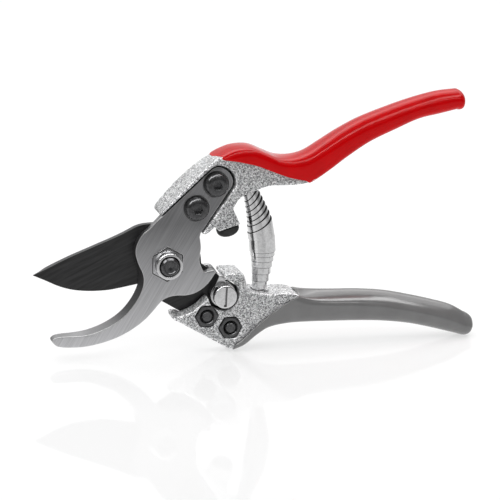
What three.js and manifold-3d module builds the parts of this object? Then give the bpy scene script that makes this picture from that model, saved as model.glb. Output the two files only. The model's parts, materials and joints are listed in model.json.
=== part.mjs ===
// Bypass pruning shears, drawn half open and standing on the edge of the lower handle.
// Millimetres. The tool lies in the XZ plane: +X runs towards the handle ends, +Z is up, and the
// hook side faces -Y. Everything is drawn about the pivot, and the whole is moved at the end so
// that the middle of its underside is the origin.
import * as THREE from "three";
import { mergeVertices } from "three/addons/utils/BufferGeometryUtils.js";
import Module from "manifold-3d";

const wasm = await Module();
wasm.setup();

// Layers, along Y, with the shear plane at 0.
const GAP = 0.3;
const CLEAR = 20; // beyond every piece, in front and behind
const HOOK_FRONT = -4.5;
const HOOK_BACK = -0.15;
const BLADE_FRONT = 0.15;
const BLADE_BACK = 3;
const CASTING_FRONT = -6;
const CASTING_BACK = 9.5;
const MIDDLE = (CASTING_FRONT + CASTING_BACK) / 2;
const HEAD_BACK = 4.5;

// Pivot.
const PIVOT_BOLT_RADIUS = 4;
const PIVOT_BOLT_END = -10;
const PIVOT_NUT_FLATS = 12.7;
const PIVOT_HEXAGON_FRONT = -4.6;
const PIVOT_COLLAR_RADIUS = 5.9;
const PIVOT_NUT_FRONT = -9;
const NUT_RECESS_FLOOR = -2.5;
const BUSHING_RADIUS = 5;
const PIVOT_HEAD_RADIUS = 7.6;
const PIVOT_HEAD_HEIGHT = 3.6;
const PIVOT_SOCKET_FLATS = 5;
const PIVOT_SOCKET_DEPTH = 2.4;
const PIVOT_WASHER_THICKNESS = 0.5;

// Screws of the hook, on its tang.
const HOOK_SCREWS = { hook_screw_lower: [12.4, 24.3], hook_screw_upper: [20.8, 34.6] };
const HOOK_SCREW_HEAD_RADIUS = 5.3;
const HOOK_SCREW_HEAD_HEIGHT = 3;
const HOOK_SCREW_RADIUS = 2.8;
const HOOK_NUT_FLATS = 10;
const HOOK_NUT_HEIGHT = 3.8;

// Bolts of the blade, on its tang.
const BLADE_BOLTS = { blade_bolt_front: [17.6, -23.9], blade_bolt_rear: [28.2, -29.5] };
const BLADE_BOLT_RADIUS = 2.5;
const BLADE_BOLT_HEAD_RADIUS = 4.4;
const BLADE_BOLT_HEAD_HEIGHT = 2.8;
const BLADE_BOLT_SOCKET_FLATS = 3;
const BLADE_NUT_FLATS = 8.8;
const BLADE_NUT_HEIGHT = 3.5;

// Thumb catch.
const CATCH = [25, -14.8];
const CATCH_COLLAR_RADIUS = 5.6;
const CATCH_RECESS_RADIUS = 6.9;
const CATCH_REACH = 8.7;
const CATCH_SHAFT_RADIUS = 3;
const CATCH_TOOTH_ANGLE = 103;
const CATCH_TOOTH_WIDTH = 2.6;
const CATCH_LEVER_ANGLE = 122;
const CATCH_LEVER_LENGTH = 13;
const CATCH_HEAD_RADIUS = 5.1;
const CATCH_HEAD_FRONT = -9;
const CATCH_SHANK_RADIUS = 1.8;

// Arc cut-out that the round foot of the hook turns in.
const CUTOUT_RADIUS = 24.1;
const CUTOUT_BACK_RADIUS = 22.8;

// Grips: a dipped coat over the casting's core.
const COAT = 0.9;
const GRIP_HALF_DEPTH = 8.9;
const END_HALF_DEPTH = 6.9;
const RING = 20;

const material = (color, roughness, metalness) =>
  new THREE.MeshStandardMaterial({ color, roughness, metalness });
const CAST_ALUMINIUM = [0xb9babc, 0.55, 0.85];
const BRUSHED_STEEL = [0x8f8f90, 0.38, 0.95];
const BLACK_COATING = [0x222222, 0.45, 0.5];
const BLACK_OXIDE = [0x1e1e1f, 0.4, 0.8];
const BRIGHT_STEEL = [0xd2d2d2, 0.2, 1];
const RED_PVC = [0xc8000c, 0.28, 0];
const GREY_PVC = [0x7e7e7e, 0.35, 0];
const BLACK_RUBBER = [0x161616, 0.75, 0];
const BRONZE = [0xa8763e, 0.45, 0.9];

const radians = (degrees) => (degrees * Math.PI) / 180;
const polar = ([x, z], radius, degrees) => [
  x + radius * Math.cos(radians(degrees)),
  z + radius * Math.sin(radians(degrees)),
];
const vectors = (points) => points.map(([x, z]) => new THREE.Vector2(x, z));

// A flat shape. Each stretch is a list of points: two or more make a smooth curve from where the
// last stretch ended, and a single point makes a straight line.
function outline(start, ...stretches) {
  const shape = new THREE.Shape();
  shape.moveTo(...start);
  for (const stretch of stretches) {
    if (stretch.length === 1) shape.lineTo(...stretch[0]);
    else shape.splineThru(vectors(stretch));
  }
  return shape;
}

// A shape in XZ given depth from yFront to yBack. A positive swell makes it larger all round.
function plate(shape, yFront, yBack, swell = 0, segments = 3) {
  const geometry = new THREE.ExtrudeGeometry(shape, {
    depth: yBack - yFront,
    curveSegments: segments,
    bevelEnabled: swell > 0,
    bevelSize: swell,
    bevelThickness: swell,
    bevelSegments: 1,
  });
  geometry.rotateX(Math.PI / 2);
  geometry.translate(0, yBack, 0);
  return geometry;
}

function rod([x, z], radius, yFront, yBack, segments = 24) {
  const geometry = new THREE.CylinderGeometry(radius, radius, yBack - yFront, segments);
  geometry.translate(x, (yFront + yBack) / 2, z);
  return geometry;
}

// A hexagon prism with two of its corners pointing along X.
function hexagon([x, z], flats, yFront, yBack, turn = 0) {
  const corners = flats / Math.sqrt(3);
  const geometry = new THREE.CylinderGeometry(corners, corners, yBack - yFront, 6);
  geometry.rotateY(Math.PI / 6 + radians(turn));
  geometry.translate(x, (yFront + yBack) / 2, z);
  return geometry;
}

// A body turned about a line along Y, from [radius, y] pairs that start and end on the line.
function turned([x, z], profile, segments = 24) {
  const geometry = new THREE.LatheGeometry(vectors(profile), segments);
  geometry.translate(x, 0, z);
  return geometry;
}

function solid(geometry) {
  const bare = geometry.clone();
  bare.deleteAttribute("normal");
  bare.deleteAttribute("uv");
  const welded = mergeVertices(bare, 1e-4);
  return new wasm.Manifold(
    new wasm.Mesh({
      numProp: 3,
      vertProperties: new Float32Array(welded.attributes.position.array),
      triVerts: new Uint32Array(welded.index.array),
    }),
  );
}

function carve(joined, cuts = []) {
  let body = joined.map(solid).reduce((a, b) => a.add(b));
  for (const cut of cuts) body = body.subtract(solid(cut));
  const mesh = body.getMesh();
  const geometry = new THREE.BufferGeometry();
  geometry.setAttribute("position", new THREE.BufferAttribute(mesh.vertProperties, 3));
  geometry.setIndex(new THREE.BufferAttribute(mesh.triVerts, 1));
  geometry.computeVertexNormals();
  return geometry;
}

// A skin through rings of points, closed at both ends by fans.
function loft(rings) {
  const count = rings[0].length;
  const points = rings.flat();
  const middle = (ring) =>
    ring.reduce((sum, p) => sum.add(p), new THREE.Vector3()).divideScalar(ring.length);
  points.push(middle(rings[0]), middle(rings[rings.length - 1]));
  const faces = [];
  for (let i = 0; i < rings.length - 1; i += 1) {
    for (let j = 0; j < count; j += 1) {
      const a = i * count + j;
      const b = i * count + ((j + 1) % count);
      faces.push(a, b, a + count, b, b + count, a + count);
    }
  }
  const last = (rings.length - 1) * count;
  for (let j = 0; j < count; j += 1) {
    const next = (j + 1) % count;
    faces.push(next, j, points.length - 2);
    faces.push(last + j, last + next, points.length - 1);
  }
  const geometry = new THREE.BufferGeometry().setFromPoints(points);
  geometry.setIndex(faces);
  geometry.computeVertexNormals();
  return geometry;
}

// A plate whose front and back outlines differ, from two outlines with the same points.
function slab(layers, divisions = 3) {
  const rings = layers.map(([shape, y]) => {
    const points = shape.extractPoints(divisions).shape;
    return points.map((p) => new THREE.Vector3(p.x, y, p.y));
  });
  const count = rings[0].length;
  const points = rings.flat();
  const faces = [];
  const clockwise = THREE.ShapeUtils.isClockWise(rings[0].map((p) => new THREE.Vector2(p.x, p.z)));
  for (let i = 0; i < rings.length - 1; i += 1) {
    for (let j = 0; j < count; j += 1) {
      const a = i * count + j;
      const b = i * count + ((j + 1) % count);
      faces.push([a, b, a + count], [b, b + count, a + count]);
    }
  }
  const cap = (ring, offset, flip) => {
    const flat = ring.map((p) => new THREE.Vector2(p.x, p.z));
    for (const [a, b, c] of THREE.ShapeUtils.triangulateShape(flat, [])) {
      faces.push(flip ? [c + offset, b + offset, a + offset] : [a + offset, b + offset, c + offset]);
    }
  };
  cap(rings[0], 0, false);
  cap(rings[rings.length - 1], (rings.length - 1) * count, true);
  const sides = (rings.length - 1) * count * 2;
  const turnedFaces = faces.map(([a, b, c], i) => (i < sides && !clockwise ? [c, b, a] : [a, b, c]));
  const geometry = new THREE.BufferGeometry().setFromPoints(points);
  geometry.setIndex(turnedFaces.flat());
  geometry.computeVertexNormals();
  return geometry;
}

const shears = new THREE.Group();
function add(name, geometry, finish) {
  const mesh = new THREE.Mesh(geometry, material(...finish));
  mesh.name = name;
  shears.add(mesh);
}

// ---------------------------------------------------------------- handles
// A handle's section runs from a point of its upper guide to the matching point of its lower one,
// and is a rounded rectangle whose corners get rounder towards the end.
const UPPER = {
  top: [
    [20.4, 45.2], [24.4, 47.7], [30, 49.7], [37, 49.8], [43.5, 47.2], [49, 45], [55.5, 44.6],
    [62, 46.2], [69, 50.4], [76.5, 55.1], [86, 60], [98, 64.5], [110, 68.3], [121, 70.9], [130, 71.7],
  ],
  bottom: [
    [27, 31], [31.5, 30.4], [36.5, 30.8], [41.5, 31.9], [46.5, 32], [52, 31.8], [58.5, 32],
    [63.5, 33.2], [71.5, 38], [80, 43.9], [90, 50], [101.5, 55], [112, 59.2], [121.5, 61.1], [129.5, 62.8],
  ],
  mouth: [[0, 0], [0.02, 0.56], [0.13, 1.14], [0.25, 1.8], [0.35, 2.42], [0.45, 3.22], [0.5, 4.2],
    [0.58, 4.98], [0.66, 5.5], [0.72, 5.88], [0.8, 6.4], [1, 6.8]],
  end: [3.4, -1],
};
const LOWER = {
  top: [
    [35, -13.6], [41, -14.6], [47.5, -15.4], [53, -14.8], [60, -15.4], [68, -16], [76, -16.4], [88, -16.9],
    [100, -18.2], [112, -20.8], [122, -23.4], [131, -26.2], [137.5, -29.8],
  ],
  bottom: [
    [29.5, -40], [34.6, -38.1], [40, -33.9], [45.5, -30.8], [53.5, -29.5], [62, -29.4], [72, -29.8],
    [85, -30.4], [97, -31.3], [109, -33], [118.5, -35.2], [127, -37.6], [134, -39.6],
  ],
  mouth: [[0, 3.9], [0.13, 3.7], [0.22, 3.5], [0.37, 3.16], [0.5, 2.7], [0.57, 2.2], [0.67, 1.62],
    [0.75, 1.1], [0.82, 0.78], [0.88, 0.48], [0.92, 0.1], [1, 0]],
  end: [5.6, -2.4],
};
const ROOT_SQUARENESS = 9;
const END_SQUARENESS = 2.2;

// The value at a place in a table of [place, value] pairs, in straight lines between them.
function between(table, place) {
  const after = table.findIndex(([x], i) => i > 0 && (place < x || i === table.length - 1));
  const [x0, y0] = table[after - 1];
  const [x1, y1] = table[after];
  return THREE.MathUtils.mapLinear(place, x0, x1, y0, y1);
}

// How far out a unit rounded square reaches at an angle.
function reachOf(angle, squareness) {
  const sum = Math.abs(Math.cos(angle)) ** squareness + Math.abs(Math.sin(angle)) ** squareness;
  return sum ** (-1 / squareness);
}

function section(handle, angle, stationOf, inset, shrink = 1, push = 0) {
  const stations = handle.top.length - 1;
  const fromTop = (1 - Math.sin(angle) * reachOf(angle, ROOT_SQUARENESS)) / 2;
  const station = Math.min(stations, stationOf(fromTop));
  const part = station / stations;
  const top = new THREE.SplineCurve(vectors(handle.top)).getPoint(part);
  const bottom = new THREE.SplineCurve(vectors(handle.bottom)).getPoint(part);
  const centre = top.clone().add(bottom).multiplyScalar(0.5);
  const up = top.clone().sub(bottom).multiplyScalar(0.5);
  const halfHeight = up.length() - inset;
  up.normalize();
  const squareness = END_SQUARENESS + (ROOT_SQUARENESS - END_SQUARENESS) * (1 - part) ** 2;
  const halfDepth = THREE.MathUtils.lerp(GRIP_HALF_DEPTH, END_HALF_DEPTH, part ** 2) - inset;
  const reach = reachOf(angle, squareness) * shrink;
  const across = Math.cos(angle) * reach * halfDepth;
  const along = Math.sin(angle) * reach * halfHeight;
  return new THREE.Vector3(
    centre.x + up.x * along + handle.end[0] * push,
    MIDDLE + across,
    centre.y + up.y * along + handle.end[1] * push,
  );
}

function ringOf(handle, stationOf, inset, shrink, push) {
  return Array.from({ length: RING }, (_, j) =>
    section(handle, ((j + 0.5) * 2 * Math.PI) / RING, stationOf, inset, shrink, push));
}

function handleBody(handle, firstStation, lastStation, count, inset) {
  const rings = [];
  for (let i = 0; i <= count; i += 1) {
    rings.push(ringOf(handle, (f) => {
      const start = firstStation(f);
      return start + ((lastStation - start) * i) / count;
    }, inset));
  }
  return rings;
}

function grip(handle, casting) {
  const last = handle.top.length - 1;
  const rings = handleBody(handle, (f) => between(handle.mouth, f), last, 18, 0);
  for (const turn of [25, 50, 75]) {
    rings.push(ringOf(handle, () => last, 0, Math.cos(radians(turn)) ** 0.5, Math.sin(radians(turn))));
  }
  return carve([loft(rings)], casting);
}

const CORE_END = 0.6;
function core(handle, start, inset) {
  const last = handle.top.length - 1 - CORE_END;
  return loft(handleBody(handle, () => start, last, 14, inset));
}

// ---------------------------------------------------------------- spring line and seats
// Outer shape of the double cone, along its bowed centre line, from the lower seat to the upper.
const SPRING_LINE = [
  [42.7, -16.4], [42.8, -13.5], [43.3, -9], [43.7, -3], [43.8, 3], [43.3, 9], [42, 16], [40.1, 22.4],
  [37.9, 28.7], [36.6, 32.4],
];
const SPRING_RADII = [3.2, 3.4, 3.9, 4.6, 5.8, 6.1, 5.6, 4.6, 3.4, 3.2];
const springLine = new THREE.SplineCurve(vectors(SPRING_LINE));
const SEAT_RADIUS = 3.8;
const SEAT_HEIGHT = 6;
// A round seat whose floor is just past the spring's end at part 0 or 1 of its line.
function springSeat(part) {
  const [x, z] = springLine.getPoint(part).toArray();
  const tangent = springLine.getTangent(part);
  const outwards = part === 0 ? -1 : 1;
  const seat = new THREE.CylinderGeometry(SEAT_RADIUS, SEAT_RADIUS, SEAT_HEIGHT, 32);
  seat.translate(0, outwards * (GAP - SEAT_HEIGHT / 2), 0);
  seat.applyQuaternion(new THREE.Quaternion().setFromUnitVectors(
    new THREE.Vector3(0, 1, 0), new THREE.Vector3(tangent.x, 0, tangent.y)));
  seat.translate(x, MIDDLE, z);
  return seat;
}
const lowerSeat = springSeat(0);
const upperSeat = springSeat(1);

// ---------------------------------------------------------------- upper handle casting
// The head tapers: its upper left edge lies further in at the back than at the front.
const HEAD_EDGE_FRONT = [[-2, 24.4], [6.5, 32.9], [15, 41.2], [20.3, 45.9], [22.8, 46.6]];
const HEAD_EDGE_BACK = [[-1.5, 25.1], [5.8, 33.2], [13.7, 40.1], [19.9, 44.3], [22.8, 45.9]];
const upperHead = (edge) => outline(
  [-2.4, 20.8],
  [[-3.2, 21.8], [-3, 22.9]],
  edge,
  [[26, 46.6], [32, 45.5], [40.5, 42.3], [49, 38.6], [56.5, 36.2], [63, 35.2]],
  [[66, 35.6]],
  [[64.5, 34.9], [61, 33.7], [57.3, 33.2], [51, 33], [46, 33.2], [42, 32.6]],
  [[32.6, 29]],
  [[30.6, 27.4], [28.8, 24.6], [25.2, 20.4], [21.2, 16.7]],
  [[17.9, 13.6]],
  [[16.2, 12.7], [14.9, 13]],
  [[14.7, 15]],
  [[-1, 20]],
);
const bumperArm = outline(
  [22.8, 13],
  [[32.4, 15.8]],
  [[30.5, 20], [29.2, 22.8], [29.7, 25.4]],
  [[33, 29.6]],
  [[24, 24]],
  [[21.6, 17]],
);
const ARM_FRONT = -3.3;
const ARM_BACK = 6.8;
const TANG_GAP = 0.6;
const hookTang = outline(
  [-3.6, 20.9],
  [[18.9, 41.5]],
  [[21.5, 42.4], [24.3, 41.6], [26.7, 39.9], [28.2, 37.4], [28.6, 35], [28.2, 33.4]],
  [[14.5, 13.4]],
  [[13, 8]],
  [[-6, 14]],
);
const hookScrewHoles = Object.values(HOOK_SCREWS).map((at) =>
  rod(at, HOOK_SCREW_RADIUS + GAP, -CLEAR, CLEAR, 24));
const hookNutPockets = Object.values(HOOK_SCREWS).map((at) =>
  hexagon(at, HOOK_NUT_FLATS + 2 * GAP, CASTING_BACK - HOOK_NUT_HEIGHT - GAP, CLEAR));

// The bumper stands on the end of the arm, along this line.
const BUMPER_FOOT = [27.6, 14.4];
const BUMPER_DIRECTION = [0.28, -0.96];
const BUMPER_RADIUS = 5;
const BUMPER_HEIGHT = 4.6;
const BUMPER_STEM_RADIUS = 1.8;
const BUMPER_STEM_LENGTH = 6;
function onBumperAxis(geometry) {
  const turn = new THREE.Quaternion().setFromUnitVectors(
    new THREE.Vector3(0, 1, 0),
    new THREE.Vector3(BUMPER_DIRECTION[0], 0, BUMPER_DIRECTION[1]).normalize(),
  );
  geometry.applyQuaternion(turn);
  geometry.translate(BUMPER_FOOT[0], (ARM_FRONT + ARM_BACK) / 2, BUMPER_FOOT[1]);
  return geometry;
}
const bumperHole = onBumperAxis(
  new THREE.CylinderGeometry(
    BUMPER_STEM_RADIUS + GAP, BUMPER_STEM_RADIUS + GAP, 2 * (BUMPER_STEM_LENGTH + GAP), 16),
);

add(
  "upper_handle_casting",
  carve(
    [
      slab([[upperHead(HEAD_EDGE_FRONT), CASTING_FRONT], [upperHead(HEAD_EDGE_BACK), CASTING_BACK]]),
      plate(bumperArm, ARM_FRONT, ARM_BACK),
      core(UPPER, 0.6, COAT + GAP),
    ],
    [
      plate(hookTang, -CLEAR, HOOK_BACK, TANG_GAP),
      ...hookScrewHoles,
      ...hookNutPockets,
      bumperHole,
      upperSeat,
    ],
  ),
  CAST_ALUMINIUM,
);
add(
  "upper_grip",
  grip(UPPER, [
    plate(upperHead(HEAD_EDGE_FRONT), CASTING_FRONT, CASTING_BACK, GAP),
    core(UPPER, 0.3, COAT),
  ]),
  RED_PVC,
);
add(
  "bumper",
  onBumperAxis(
    new THREE.LatheGeometry(
      vectors([
        [0, -BUMPER_STEM_LENGTH],
        [BUMPER_STEM_RADIUS, -BUMPER_STEM_LENGTH],
        [BUMPER_STEM_RADIUS, GAP],
        [BUMPER_RADIUS, GAP],
        [BUMPER_RADIUS, 1.6],
        [BUMPER_RADIUS * 0.9, 2.9],
        [BUMPER_RADIUS * 0.66, 3.9],
        [BUMPER_RADIUS * 0.33, 4.45],
        [0, BUMPER_HEIGHT],
      ]),
      20,
    ),
  ),
  BLACK_RUBBER,
);

// ---------------------------------------------------------------- hook
// Its hollow edge is ground: the front face starts further in than the back one.
const HOOK_GRIND = 1.5;
function hookOutline(grind) {
  return outline(
    [14.5, 13.2],
    [[27.9, 33.4]],
    [[28.3, 35], [27.9, 37.2], [26.4, 39.6], [24.1, 41.3], [21.6, 42.1], [19, 41.2]],
    [[-2.7, 21.2]],
    [[-4.4 - grind * 0.4, 19.4], [-7.6 - grind * 0.3, 16.2], [-10.9 - grind * 0.3, 13.4],
      [-13.4 - grind * 0.1, 9.6], [-14.2, 5.6], [-13.4 + grind * 0.3, 1], [-12 + grind * 0.8, -4],
      [-12 + grind, -8.2], [-13.4 + grind, -12.4 - grind * 0.3], [-15.7 + grind * 0.8, -16.4 - grind * 0.6],
      [-19 + grind * 0.6, -20.4 - grind * 0.8], [-23.5 + grind * 0.5, -23.9 - grind * 0.9],
      [-29, -26.7 - grind], [-34.6, -28.5 - grind * 0.9], [-40, -29.3 - grind * 0.6],
      [-45.4, -29.6 - grind * 0.3]],
    [[-48.9, -30.2 - grind * 0.2], [-50.3, -31.8], [-48.2, -34.1], [-45, -34.9]],
    [[-42, -35.1], [-36.4, -35.1], [-30.9, -34.3], [-25.3, -32.9], [-19.7, -30.8], [-14.1, -27.7],
      [-8.6, -23.4], [-3.4, -17.5]],
    [[-1.6, -15.8], [1.2, -14.6], [4.6, -14.2], [8.4, -14.3], [12, -13.6], [15, -12.1], [17.8, -9.8],
      [20, -6.9], [21.6, -4.6]],
    [[20.6, -3.7]],
    [[18.4, -4], [16.6, -4.4], [15.6, -3.2], [14.3, -0.2]],
    [[14.1, 1.6], [14.4, 4], [14.7, 6.4], [14.5, 9], [14.1, 11.4]],
  );
}

add(
  "hook_blade",
  carve(
    [slab([[hookOutline(HOOK_GRIND), HOOK_FRONT], [hookOutline(0), HOOK_BACK]])],
    [
      rod([0, 0], PIVOT_BOLT_RADIUS + GAP, -CLEAR, CLEAR),
      hexagon([0, 0], PIVOT_NUT_FLATS + 2 * GAP, -CLEAR, NUT_RECESS_FLOOR, 30),
      ...hookScrewHoles,
    ],
  ),
  BRUSHED_STEEL,
);

const SOCKET_FLATS = 3.4;
const SOCKET_DEPTH = 1.8;
for (const [name, at] of Object.entries(HOOK_SCREWS)) {
  const seat = HOOK_FRONT - GAP;
  const top = seat - HOOK_SCREW_HEAD_HEIGHT;
  add(
    name,
    carve(
      [
        turned(at, [
          [0, top],
          [HOOK_SCREW_HEAD_RADIUS * 0.55, top],
          [HOOK_SCREW_HEAD_RADIUS * 0.85, top + 0.9],
          [HOOK_SCREW_HEAD_RADIUS, top + 2.3],
          [HOOK_SCREW_HEAD_RADIUS, seat],
          [HOOK_SCREW_RADIUS, seat],
          [HOOK_SCREW_RADIUS, CASTING_BACK - 1],
          [0, CASTING_BACK - 1],
        ]),
      ],
      [hexagon(at, SOCKET_FLATS, -CLEAR, top + SOCKET_DEPTH)],
    ),
    BLACK_OXIDE,
  );
  add(
    name.replace("screw", "nut"),
    carve(
      [hexagon(at, HOOK_NUT_FLATS, CASTING_BACK - HOOK_NUT_HEIGHT, CASTING_BACK - 0.2)],
      [rod(at, HOOK_SCREW_RADIUS + GAP, -CLEAR, CLEAR, 24)],
    ),
    BLACK_OXIDE,
  );
}

// ---------------------------------------------------------------- pivot
const washerFront = BLADE_BACK + GAP;
const headFront = washerFront + PIVOT_WASHER_THICKNESS + GAP;
const headBack = headFront + PIVOT_HEAD_HEIGHT;
add(
  "pivot_bolt",
  carve(
    [
      turned([0, 0], [
        [0, PIVOT_BOLT_END],
        [PIVOT_BOLT_RADIUS - 0.7, PIVOT_BOLT_END],
        [PIVOT_BOLT_RADIUS, PIVOT_BOLT_END + 0.7],
        [PIVOT_BOLT_RADIUS, headFront],
        [PIVOT_HEAD_RADIUS, headFront],
        [PIVOT_HEAD_RADIUS, headBack - 0.8],
        [PIVOT_HEAD_RADIUS - 0.8, headBack],
        [0, headBack],
      ]),
    ],
    [hexagon([0, 0], PIVOT_SOCKET_FLATS, headBack - PIVOT_SOCKET_DEPTH, CLEAR)],
  ),
  BLACK_OXIDE,
);
add(
  "pivot_nut",
  carve(
    [
      hexagon([0, 0], PIVOT_NUT_FLATS, PIVOT_HEXAGON_FRONT, NUT_RECESS_FLOOR - GAP, 30),
      rod([0, 0], PIVOT_COLLAR_RADIUS, PIVOT_NUT_FRONT, NUT_RECESS_FLOOR - GAP, 36),
    ],
    [rod([0, 0], PIVOT_BOLT_RADIUS + GAP, -CLEAR, CLEAR)],
  ),
  BRIGHT_STEEL,
);
add(
  "pivot_washer",
  carve(
    [rod([0, 0], PIVOT_HEAD_RADIUS + 1, washerFront, washerFront + PIVOT_WASHER_THICKNESS)],
    [rod([0, 0], PIVOT_BOLT_RADIUS + GAP, -CLEAR, CLEAR)],
  ),
  BRIGHT_STEEL,
);

// ---------------------------------------------------------------- cutting blade
// Its front face is flat, and its belly is ground from the back.
const BLADE_GRIND = 3;
function bladeOutline(grind) {
  return outline(
    [16.1, -1.7],
    [[15.4, 3.5], [13, 8.6], [8.6, 13.2], [2.6, 16.2], [-3.6, 17.1], [-9.6, 16.9]],
    [[-13, 16], [-18.5, 13.3], [-24.1, 10.9], [-29.7, 8.7], [-35.2, 6.5], [-40.8, 4.3], [-46.3, 1.9],
      [-51.8, -0.7], [-58 + grind * 1.2, -3.3 + grind * 0.3]],
    [[-52.4 + grind * 0.4, -5.9 + grind * 0.6], [-46.8 + grind * 0.2, -8.6 + grind * 0.9],
      [-41.3, -10.4 + grind], [-35.7, -11.3 + grind], [-30.1, -11.6 + grind], [-24.5, -11.4 + grind],
      [-18.9, -10.6 + grind * 0.8], [-12.2, -9.4 + grind * 0.3]],
    [[-7.4, -10.2], [-4.6, -13.6], [-1.6, -17.4]],
    [[31, -37.2]],
    [[33.4, -37.6], [35.6, -35.8]],
    [[42, -25]],
    [[42.4, -22], [40.6, -19.2], [38, -16.6]],
  );
}
const catchHole = rod(CATCH, CATCH_SHAFT_RADIUS + GAP, -CLEAR, CLEAR, 24);
const bladeBoltHoles = Object.values(BLADE_BOLTS).map((at) =>
  rod(at, BLADE_BOLT_RADIUS + GAP, -CLEAR, CLEAR, 24));
add(
  "cutting_blade",
  carve(
    [
      slab([
        [bladeOutline(0), BLADE_FRONT],
        [bladeOutline(0.15), BLADE_FRONT + 0.6],
        [bladeOutline(BLADE_GRIND), BLADE_BACK],
      ]),
    ],
    [rod([0, 0], BUSHING_RADIUS + GAP, -CLEAR, CLEAR), catchHole, ...bladeBoltHoles],
  ),
  BLACK_COATING,
);
add(
  "pivot_bushing",
  carve(
    [rod([0, 0], BUSHING_RADIUS, BLADE_FRONT, BLADE_BACK)],
    [rod([0, 0], PIVOT_BOLT_RADIUS + GAP, -CLEAR, CLEAR)],
  ),
  BRONZE,
);

// ---------------------------------------------------------------- lower handle casting
const cutout = Array.from({ length: 7 }, (_, i) => polar([0, 0], CUTOUT_BACK_RADIUS, -84 + i * 7));
// The wall of the cut-out leans, so that it is further from the pivot at the front.
const cutoutWall = new THREE.CylinderGeometry(CUTOUT_BACK_RADIUS, CUTOUT_RADIUS, -CASTING_FRONT, 72);
cutoutWall.translate(0, CASTING_FRONT / 2, 0);
const STUB_LEFT = 25;
const STUB_TOP = -5.2;
const lowerHead = outline(
  [2.9, -23.9],
  cutout,
  [[CATCH[0], CATCH[1]]],
  [[STUB_LEFT, STUB_TOP - 1]],
  [[STUB_LEFT + 0.3, STUB_TOP - 0.3], [STUB_LEFT + 1.2, STUB_TOP]],
  [[32.6, STUB_TOP]],
  [[33.6, -5.8], [34.2, -7], [35, -9.6], [35.8, -12], [37.2, -13.9]],
  [[47, -15.6]],
  [[48.6, -15.4], [50.4, -15], [54.6, -15.2], [58.8, -16.4], [61.4, -18.4]],
  [[57, -21.4], [50, -24.6], [43, -28.6], [36.6, -33.2], [32.4, -37.4], [30.4, -38.8]],
  [[28.6, -39.4], [26, -38.1]],
  [[4.4, -25.4]],
  [[2.7, -24.8], [2.9, -23.9]],
);
const bladePocket = plate(bladeOutline(0), 0, CLEAR, 2 * GAP);
const headRelief = plate(
  outline([0, -45], [[38, -45]], [[41, -30]], [[41, -17]], [[36, -13.4]], [[25.4, -8]], [[0, -8]]),
  HEAD_BACK,
  CLEAR,
);
const bladeNutPockets = Object.values(BLADE_BOLTS).map((at) =>
  hexagon(at, BLADE_NUT_FLATS + 2 * GAP, -CLEAR, CASTING_FRONT + BLADE_NUT_HEIGHT + GAP));
add(
  "lower_handle_casting",
  carve(
    [plate(lowerHead, CASTING_FRONT, CASTING_BACK), core(LOWER, 1.2, COAT + GAP)],
    [
      cutoutWall,
      lowerSeat,
      rod(CATCH, CATCH_RECESS_RADIUS, -CLEAR, CLEAR, 40),
      bladePocket,
      headRelief,
      ...bladeBoltHoles,
      ...bladeNutPockets,
    ],
  ),
  CAST_ALUMINIUM,
);
add(
  "lower_grip",
  grip(LOWER, [
    plate(lowerHead, -CLEAR, CASTING_BACK, GAP),
    core(LOWER, 1, COAT),
    bladePocket,
  ]),
  GREY_PVC,
);
for (const [name, at] of Object.entries(BLADE_BOLTS)) {
  const seat = BLADE_BACK + GAP;
  add(
    name,
    carve(
      [
        turned(at, [
          [0, CASTING_FRONT - 0.4],
          [BLADE_BOLT_RADIUS, CASTING_FRONT - 0.4],
          [BLADE_BOLT_RADIUS, seat],
          [BLADE_BOLT_HEAD_RADIUS, seat],
          [BLADE_BOLT_HEAD_RADIUS, seat + 1],
          [BLADE_BOLT_HEAD_RADIUS * 0.82, seat + 2.1],
          [BLADE_BOLT_HEAD_RADIUS * 0.5, seat + BLADE_BOLT_HEAD_HEIGHT],
          [0, seat + BLADE_BOLT_HEAD_HEIGHT],
        ]),
      ],
      [hexagon(at, BLADE_BOLT_SOCKET_FLATS, seat + 1.2, CLEAR)],
    ),
    BLACK_OXIDE,
  );
  add(
    name.replace("bolt", "nut"),
    carve(
      [hexagon(at, BLADE_NUT_FLATS, CASTING_FRONT - 0.1, CASTING_FRONT + BLADE_NUT_HEIGHT)],
      [rod(at, BLADE_BOLT_RADIUS + GAP, -CLEAR, CLEAR, 24)],
    ),
    BLACK_OXIDE,
  );
}

// ---------------------------------------------------------------- thumb catch
const collarFront = HOOK_FRONT + 0.1;
const collarBack = -GAP;
const leverFront = BLADE_BACK + GAP + 0.3;
const leverBack = leverFront + 2;
const toothTip = Array.from({ length: 5 }, (_, i) => {
  const half = THREE.MathUtils.radToDeg(Math.asin(CATCH_TOOTH_WIDTH / 2 / CATCH_REACH));
  return polar(CATCH, CATCH_REACH, CATCH_TOOTH_ANGLE - half + (i * half) / 2);
});
const toothRoot = [-1, 1].map((side) => polar(CATCH, 3, CATCH_TOOTH_ANGLE + side * 25));
const tooth = outline(toothRoot[0], [toothTip[0]], toothTip.slice(1), [toothRoot[1]]);
const leverEnd = polar(CATCH, CATCH_LEVER_LENGTH, CATCH_LEVER_ANGLE);
const leverSide = (radius, distance, side) => {
  const along = polar(CATCH, distance, CATCH_LEVER_ANGLE);
  return polar(along, radius, CATCH_LEVER_ANGLE + side * 90);
};
const lever = outline(
  leverSide(4.6, 0, -1),
  [leverSide(3.2, CATCH_LEVER_LENGTH - 2, -1)],
  [leverEnd],
  [leverSide(3.2, CATCH_LEVER_LENGTH - 2, 1)],
  [leverSide(4.6, 0, 1)],
  [polar(CATCH, 4.6, CATCH_LEVER_ANGLE + 180)],
);
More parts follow.
